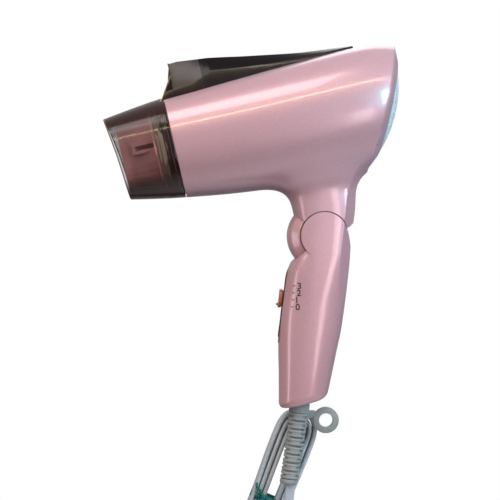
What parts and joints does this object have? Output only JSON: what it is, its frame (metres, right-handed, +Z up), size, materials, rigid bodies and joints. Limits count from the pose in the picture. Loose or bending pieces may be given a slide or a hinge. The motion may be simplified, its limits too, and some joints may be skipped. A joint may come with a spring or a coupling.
{
  "type": "travel hair dryer",
  "caption": "Folding travel hair dryer: pink barrel, smoked ion hood and swivelling nozzle, domed intake, handle with slide switch, ribbed cord guard and a tied flat cord with plug.",
  "frame": {"origin": "on the handle's centre line in the middle of the grip, where the hand closes round it", "axes": "+X along the air path towards the intake, so the nozzle points to -X; +Z up, with the barrel level; +Y across, out of the right side"},
  "size_m": [0.2027, 0.085, 0.4432],
  "materials": {
    "pink": "pearl lacquered ABS",
    "pink_duct": "moulded pink plastic",
    "steel": "bare steel",
    "bronze": "coppery brown plastic",
    "smoke": "smoked clear plastic",
    "black": "black plastic",
    "board": "circuit board",
    "grey_rubber": "soft grey vinyl",
    "wire": "insulated wire",
    "cord": "grey vinyl flat cord",
    "teal": "teal wire tie",
    "brass": "plated brass",
    "white": "white plastic",
    "ivory": "ivory plastic",
    "mica": "mica sheet",
    "tan": "tan plastic"
  },
  "bodies": {
    "handle": {"handle_shell_left": "pink", "handle_shell_right": "pink", "hinge_axle": "steel", "detent_spring": "steel", "switch_plate": "bronze", "switch_block": "black", "switch_board": "board", "cord_clamp": "black", "strain_relief": "grey_rubber", "handle_screws": "steel", "handle_leads": "wire", "cord_lead": "cord", "cord_hank": "cord", "cord_tie": "teal", "cord_tail": "cord", "plug_body": "cord", "plug_pins": "brass"},
    "head": {"head_shell_left": "pink", "head_shell_right": "pink", "rear_rim": "pink", "intake_mesh": "white", "filter_screen": "black", "finger_guard": "black", "fan_duct": "ivory", "motor": "steel", "heater_cross": "mica", "heater_coils": "steel", "heat_sleeve": "mica", "thermostat": "black", "thermal_fuse": "ivory", "outlet_grille": "black", "outlet_collar": "tan", "top_cover": "smoke", "ion_module": "ivory", "ion_needle": "steel", "hinge_bushes": "ivory", "head_screws": "steel"},
    "fan": {"motor_shaft": "steel", "impeller": "black"},
    "nozzle_ring": {"swivel_ring": "tan"},
    "nozzle": {"nozzle_shell": "smoke", "nozzle_duct": "pink_duct"},
    "slider": {"switch_slider": "smoke"}
  },
  "joints": [
    {"name": "fold", "type": "hinge", "parent": "handle", "child": "head", "pos_m": [0.0195, 0, 0.0515], "axis": [0, -1, 0], "range_deg": [0, 72]},
    {"name": "nozzle_swivel", "type": "hinge", "parent": "head", "child": "nozzle_ring", "pos_m": [-0.0722, 0, 0.13235], "axis": [1, 0, 0], "continuous": true},
    {"name": "nozzle_pull", "type": "slide", "parent": "nozzle_ring", "child": "nozzle", "axis": [-1, 0, 0], "range_m": [0, 0.045]},
    {"name": "fan_spin", "type": "hinge", "parent": "head", "child": "fan", "pos_m": [0.0555, 0, 0.13235], "axis": [1, 0, 0], "continuous": true},
    {"name": "switch_slide", "type": "slide", "parent": "handle", "child": "slider", "axis": [0.3338, 0, 0.9426], "range_m": [0, 0.0141]}
  ]
}
